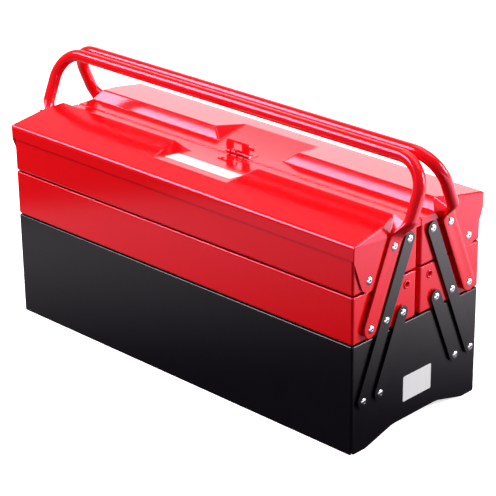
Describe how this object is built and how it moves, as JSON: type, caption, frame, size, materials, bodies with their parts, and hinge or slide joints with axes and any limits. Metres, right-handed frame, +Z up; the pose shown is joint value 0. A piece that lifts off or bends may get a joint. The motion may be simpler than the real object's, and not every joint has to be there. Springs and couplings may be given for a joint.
{
  "type": "cantilever tool box",
  "caption": "Red and black sheet-steel tool box whose trays swing out on flat parallel arms, with peaked hinged lids, twin bow handles that move with the trays, and a hasp.",
  "frame": {"origin": "middle of the base's footprint, on the surface it stands on", "axes": "+X along the box to its right end, -Y to the front, +Z up; the box is shut and its handles are together"},
  "size_m": [0.543, 0.197, 0.2933],
  "materials": {
    "red_enamel": "glossy red stove enamel on pressed steel sheet",
    "black_enamel": "satin near-black stove enamel on steel",
    "zinc_plate": "bright zinc plate",
    "label_film": "plain white label with no print"
  },
  "bodies": {
    "base": {"base_box": "black_enamel", "base_rivets": "zinc_plate", "base_washers": "zinc_plate", "end_label": "label_film"},
    "mid_front": {"mid_tray_front": "red_enamel", "mid_rivets_front": "zinc_plate", "mid_washers_front": "zinc_plate"},
    "upper_front": {"upper_tray_front": "red_enamel", "upper_rivets_front": "zinc_plate", "upper_washers_front": "zinc_plate", "lid_pivot_rivets_front": "zinc_plate"},
    "cover_front": {"lid_front": "red_enamel", "lid_label": "label_film", "staple": "red_enamel", "staple_rivets": "red_enamel"},
    "long_arm_front_right": {"long_arm_front_right": "black_enamel"},
    "long_arm_front_left": {"long_arm_front_left": "black_enamel"},
    "short_arm_front_right": {"short_arm_front_right": "black_enamel"},
    "short_arm_front_left": {"short_arm_front_left": "black_enamel"},
    "handle_front": {"handle_front": "red_enamel"},
    "mid_back": {"mid_tray_back": "red_enamel", "mid_rivets_back": "zinc_plate", "mid_washers_back": "zinc_plate"},
    "upper_back": {"upper_tray_back": "red_enamel", "upper_rivets_back": "zinc_plate", "upper_washers_back": "zinc_plate", "lid_pivot_rivets_back": "zinc_plate"},
    "cover_back": {"lid_back": "red_enamel", "hasp_leaf": "red_enamel", "hasp_rivets": "red_enamel", "hasp_pin": "zinc_plate"},
    "long_arm_back_right": {"long_arm_back_right": "black_enamel"},
    "long_arm_back_left": {"long_arm_back_left": "black_enamel"},
    "short_arm_back_right": {"short_arm_back_right": "black_enamel"},
    "short_arm_back_left": {"short_arm_back_left": "black_enamel"},
    "handle_back": {"handle_back": "red_enamel"},
    "hasp_flap": {"hasp_flap": "red_enamel"}
  },
  "joints": [
    {"name": "front_open", "type": "hinge", "parent": "base", "child": "long_arm_front_right", "pos_m": [0.2522, -0.0835, 0.0558], "axis": [1, 0, 0], "range_deg": [0, 46.5]},
    {"name": "front_long_arm_left", "type": "hinge", "parent": "base", "child": "long_arm_front_left", "pos_m": [-0.2522, -0.0835, 0.0558], "axis": [1, 0, 0], "range_deg": [0, 46.5]},
    {"name": "front_short_arm_right", "type": "hinge", "parent": "base", "child": "short_arm_front_right", "pos_m": [0.2522, -0.0585, 0.0558], "axis": [1, 0, 0], "range_deg": [0, 46.5]},
    {"name": "front_short_arm_left", "type": "hinge", "parent": "base", "child": "short_arm_front_left", "pos_m": [-0.2522, -0.0585, 0.0558], "axis": [1, 0, 0], "range_deg": [0, 46.5]},
    {"name": "front_mid_tray_level", "type": "hinge", "parent": "long_arm_front_right", "child": "mid_front", "pos_m": [0.2522, -0.05067, 0.13203], "axis": [1, 0, 0], "range_deg": [-46.5, 0]},
    {"name": "front_upper_tray_level", "type": "hinge", "parent": "long_arm_front_right", "child": "upper_front", "pos_m": [0.2522, -0.01784, 0.20826], "axis": [1, 0, 0], "range_deg": [-46.5, 0]},
    {"name": "front_handle_swing", "type": "hinge", "parent": "mid_front", "child": "handle_front", "pos_m": [0.2537, -0.07567, 0.13203], "axis": [1, 0, 0], "range_deg": [0, 46.5]},
    {"name": "front_lid", "type": "hinge", "parent": "upper_front", "child": "cover_front", "pos_m": [0.2515, -0.0758, 0.1826], "axis": [1, 0, 0], "range_deg": [0, 95]},
    {"name": "back_open", "type": "hinge", "parent": "base", "child": "long_arm_back_right", "pos_m": [0.2522, 0.0835, 0.0558], "axis": [-1, 0, 0], "range_deg": [0, 46.5]},
    {"name": "back_long_arm_left", "type": "hinge", "parent": "base", "child": "long_arm_back_left", "pos_m": [-0.2522, 0.0835, 0.0558], "axis": [-1, 0, 0], "range_deg": [0, 46.5]},
    {"name": "back_short_arm_right", "type": "hinge", "parent": "base", "child": "short_arm_back_right", "pos_m": [0.2522, 0.0585, 0.0558], "axis": [-1, 0, 0], "range_deg": [0, 46.5]},
    {"name": "back_short_arm_left", "type": "hinge", "parent": "base", "child": "short_arm_back_left", "pos_m": [-0.2522, 0.0585, 0.0558], "axis": [-1, 0, 0], "range_deg": [0, 46.5]},
    {"name": "back_mid_tray_level", "type": "hinge", "parent": "long_arm_back_right", "child": "mid_back", "pos_m": [0.2522, 0.05067, 0.13203], "axis": [-1, 0, 0], "range_deg": [-46.5, 0]},
    {"name": "back_upper_tray_level", "type": "hinge", "parent": "long_arm_back_right", "child": "upper_back", "pos_m": [0.2522, 0.01784, 0.20826], "axis": [-1, 0, 0], "range_deg": [-46.5, 0]},
    {"name": "back_handle_swing", "type": "hinge", "parent": "mid_back", "child": "handle_back", "pos_m": [0.2537, 0.07567, 0.13203], "axis": [-1, 0, 0], "range_deg": [0, 46.5]},
    {"name": "back_lid", "type": "hinge", "parent": "upper_back", "child": "cover_back", "pos_m": [0.2515, 0.0758, 0.1826], "axis": [-1, 0, 0], "range_deg": [0, 95]},
    {"name": "hasp", "type": "hinge", "parent": "cover_back", "child": "hasp_flap", "pos_m": [0, 0.003, 0.2263], "axis": [1, 0, 0], "range_deg": [0, 90]}
  ],
  "couplings": [
    {"joint": "front_long_arm_left", "follows": "front_open", "ratio": 1},
    {"joint": "front_short_arm_right", "follows": "front_open", "ratio": 1},
    {"joint": "front_short_arm_left", "follows": "front_open", "ratio": 1},
    {"joint": "front_mid_tray_level", "follows": "front_open", "ratio": -1},
    {"joint": "front_upper_tray_level", "follows": "front_open", "ratio": -1},
    {"joint": "front_handle_swing", "follows": "front_open", "ratio": 1},
    {"joint": "back_long_arm_left", "follows": "back_open", "ratio": 1},
    {"joint": "back_short_arm_right", "follows": "back_open", "ratio": 1},
    {"joint": "back_short_arm_left", "follows": "back_open", "ratio": 1},
    {"joint": "back_mid_tray_level", "follows": "back_open", "ratio": -1},
    {"joint": "back_upper_tray_level", "follows": "back_open", "ratio": -1},
    {"joint": "back_handle_swing", "follows": "back_open", "ratio": 1}
  ]
}
